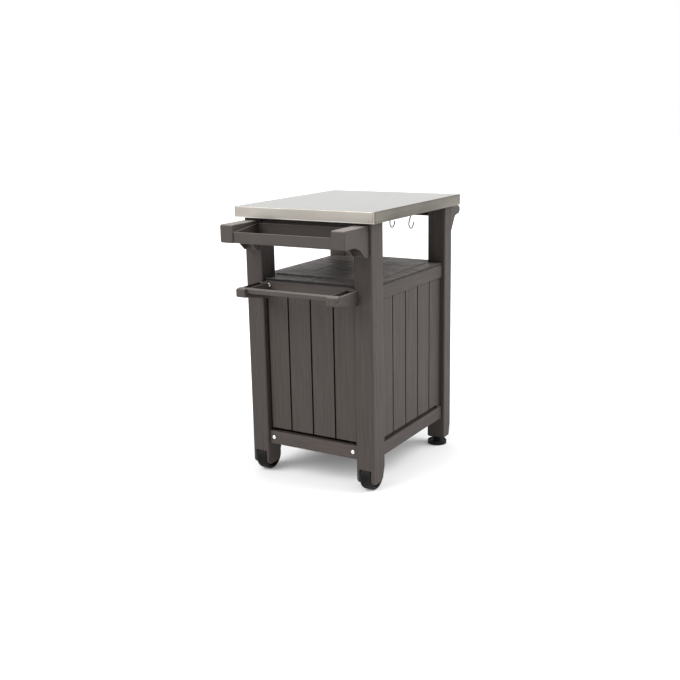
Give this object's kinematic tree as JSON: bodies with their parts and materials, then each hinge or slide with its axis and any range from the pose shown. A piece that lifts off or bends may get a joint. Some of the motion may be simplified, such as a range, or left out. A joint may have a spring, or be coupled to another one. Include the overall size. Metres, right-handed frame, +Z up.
{
  "type": "grill cart with storage",
  "caption": "Outdoor grill cart: steel worktop on four legs over a planked cabinet with doors, end tray, towel bar, pull handle, hooks, wheels and levelling feet.",
  "frame": {"origin": "middle of the cart's outline on the floor, under its wheels and feet", "axes": "+Z up, +X towards the end with the wheels and the tray, +Y towards the closed long side, doors on -Y"},
  "size_m": [0.793, 0.514, 0.9],
  "materials": {
    "resin_frame": "moulded resin, satin, fine grain",
    "resin_plank": "moulded resin with a fine wood grain along the planks",
    "steel_top": "brushed stainless",
    "black_resin": "black moulded plastic",
    "bright_zinc": "bright zinc plate",
    "dark_wire": "dark coated wire"
  },
  "bodies": {
    "cart": {"worktop_sheet": "steel_top", "worktop_board": "resin_frame", "leg_wheel_back": "resin_frame", "leg_wheel_front": "resin_frame", "leg_foot_back": "resin_frame", "leg_foot_front": "resin_frame", "axle_back": "bright_zinc", "axle_front": "bright_zinc", "tray_arm_back": "resin_frame", "tray_arm_front": "resin_frame", "holder_arm_back": "resin_frame", "holder_arm_front": "resin_frame", "pull_bracket_back": "resin_frame", "pull_bracket_front": "resin_frame", "top_rail_wheel_end": "resin_frame", "top_rail_foot_end": "resin_frame", "upper_rail_back": "resin_frame", "lower_rail_back": "resin_frame", "upper_rail_front": "resin_frame", "lower_rail_front": "resin_frame", "upper_rail_wheel_end": "resin_frame", "lower_rail_wheel_end": "resin_frame", "upper_rail_foot_end": "resin_frame", "lower_rail_foot_end": "resin_frame", "panel_back": "resin_plank", "panel_wheel_end": "resin_plank", "panel_foot_end": "resin_plank", "cabinet_deck": "resin_plank", "cabinet_floor": "resin_plank", "shelf_cleats": "resin_frame", "door_catch": "resin_frame", "condiment_tray": "resin_frame", "pull_bar": "resin_frame", "end_bolts": "bright_zinc"},
    "wheel_back": {"wheel_back": "black_resin"},
    "wheel_front": {"wheel_front": "black_resin"},
    "foot_back": {"levelling_foot_back": "black_resin", "levelling_stud_back": "bright_zinc"},
    "foot_front": {"levelling_foot_front": "black_resin", "levelling_stud_front": "bright_zinc"},
    "door_left": {"door_left": "resin_plank", "door_pins_left": "bright_zinc", "door_pull_left": "resin_frame"},
    "door_right": {"door_right": "resin_plank", "door_pins_right": "bright_zinc", "door_pull_right": "resin_frame"},
    "shelf": {"inner_shelf": "resin_plank"},
    "towel_bar": {"towel_bar": "resin_frame"},
    "hook_inner": {"hook_inner": "dark_wire"},
    "hook_outer": {"hook_outer": "dark_wire"}
  },
  "joints": [
    {"name": "wheel_back_spin", "type": "hinge", "parent": "cart", "child": "wheel_back", "pos_m": [0.2135, 0.202, 0.048], "axis": [0, 1, 0], "continuous": true},
    {"name": "wheel_front_spin", "type": "hinge", "parent": "cart", "child": "wheel_front", "pos_m": [0.2135, -0.202, 0.048], "axis": [0, 1, 0], "continuous": true},
    {"name": "foot_back_turn", "type": "hinge", "parent": "cart", "child": "foot_back", "pos_m": [-0.2785, 0.201, 0.024], "axis": [0, 0, 1], "continuous": true},
    {"name": "foot_front_turn", "type": "hinge", "parent": "cart", "child": "foot_front", "pos_m": [-0.2785, -0.201, 0.024], "axis": [0, 0, 1], "continuous": true},
    {"name": "door_right_swing", "type": "hinge", "parent": "cart", "child": "door_right", "pos_m": [0.172, -0.214, 0.383], "axis": [0, 0, 1], "range_deg": [0, 90]},
    {"name": "door_left_swing", "type": "hinge", "parent": "cart", "child": "door_left", "pos_m": [-0.254, -0.214, 0.383], "axis": [0, 0, -1], "range_deg": [0, 90]},
    {"name": "shelf_lift", "type": "slide", "parent": "cart", "child": "shelf", "axis": [0, 0, 1], "range_m": [0, 0.06]},
    {"name": "towel_bar_lift", "type": "slide", "parent": "cart", "child": "towel_bar", "axis": [0, 0, 1], "range_m": [0, 0.03]},
    {"name": "hook_inner_swing", "type": "hinge", "parent": "cart", "child": "hook_inner", "pos_m": [-0.0315, 0.152, 0.8819], "axis": [0, 1, 0], "range_deg": [-30, 30]},
    {"name": "hook_outer_swing", "type": "hinge", "parent": "cart", "child": "hook_outer", "pos_m": [-0.0315, 0.221, 0.8819], "axis": [0, 1, 0], "range_deg": [-30, 30]}
  ]
}
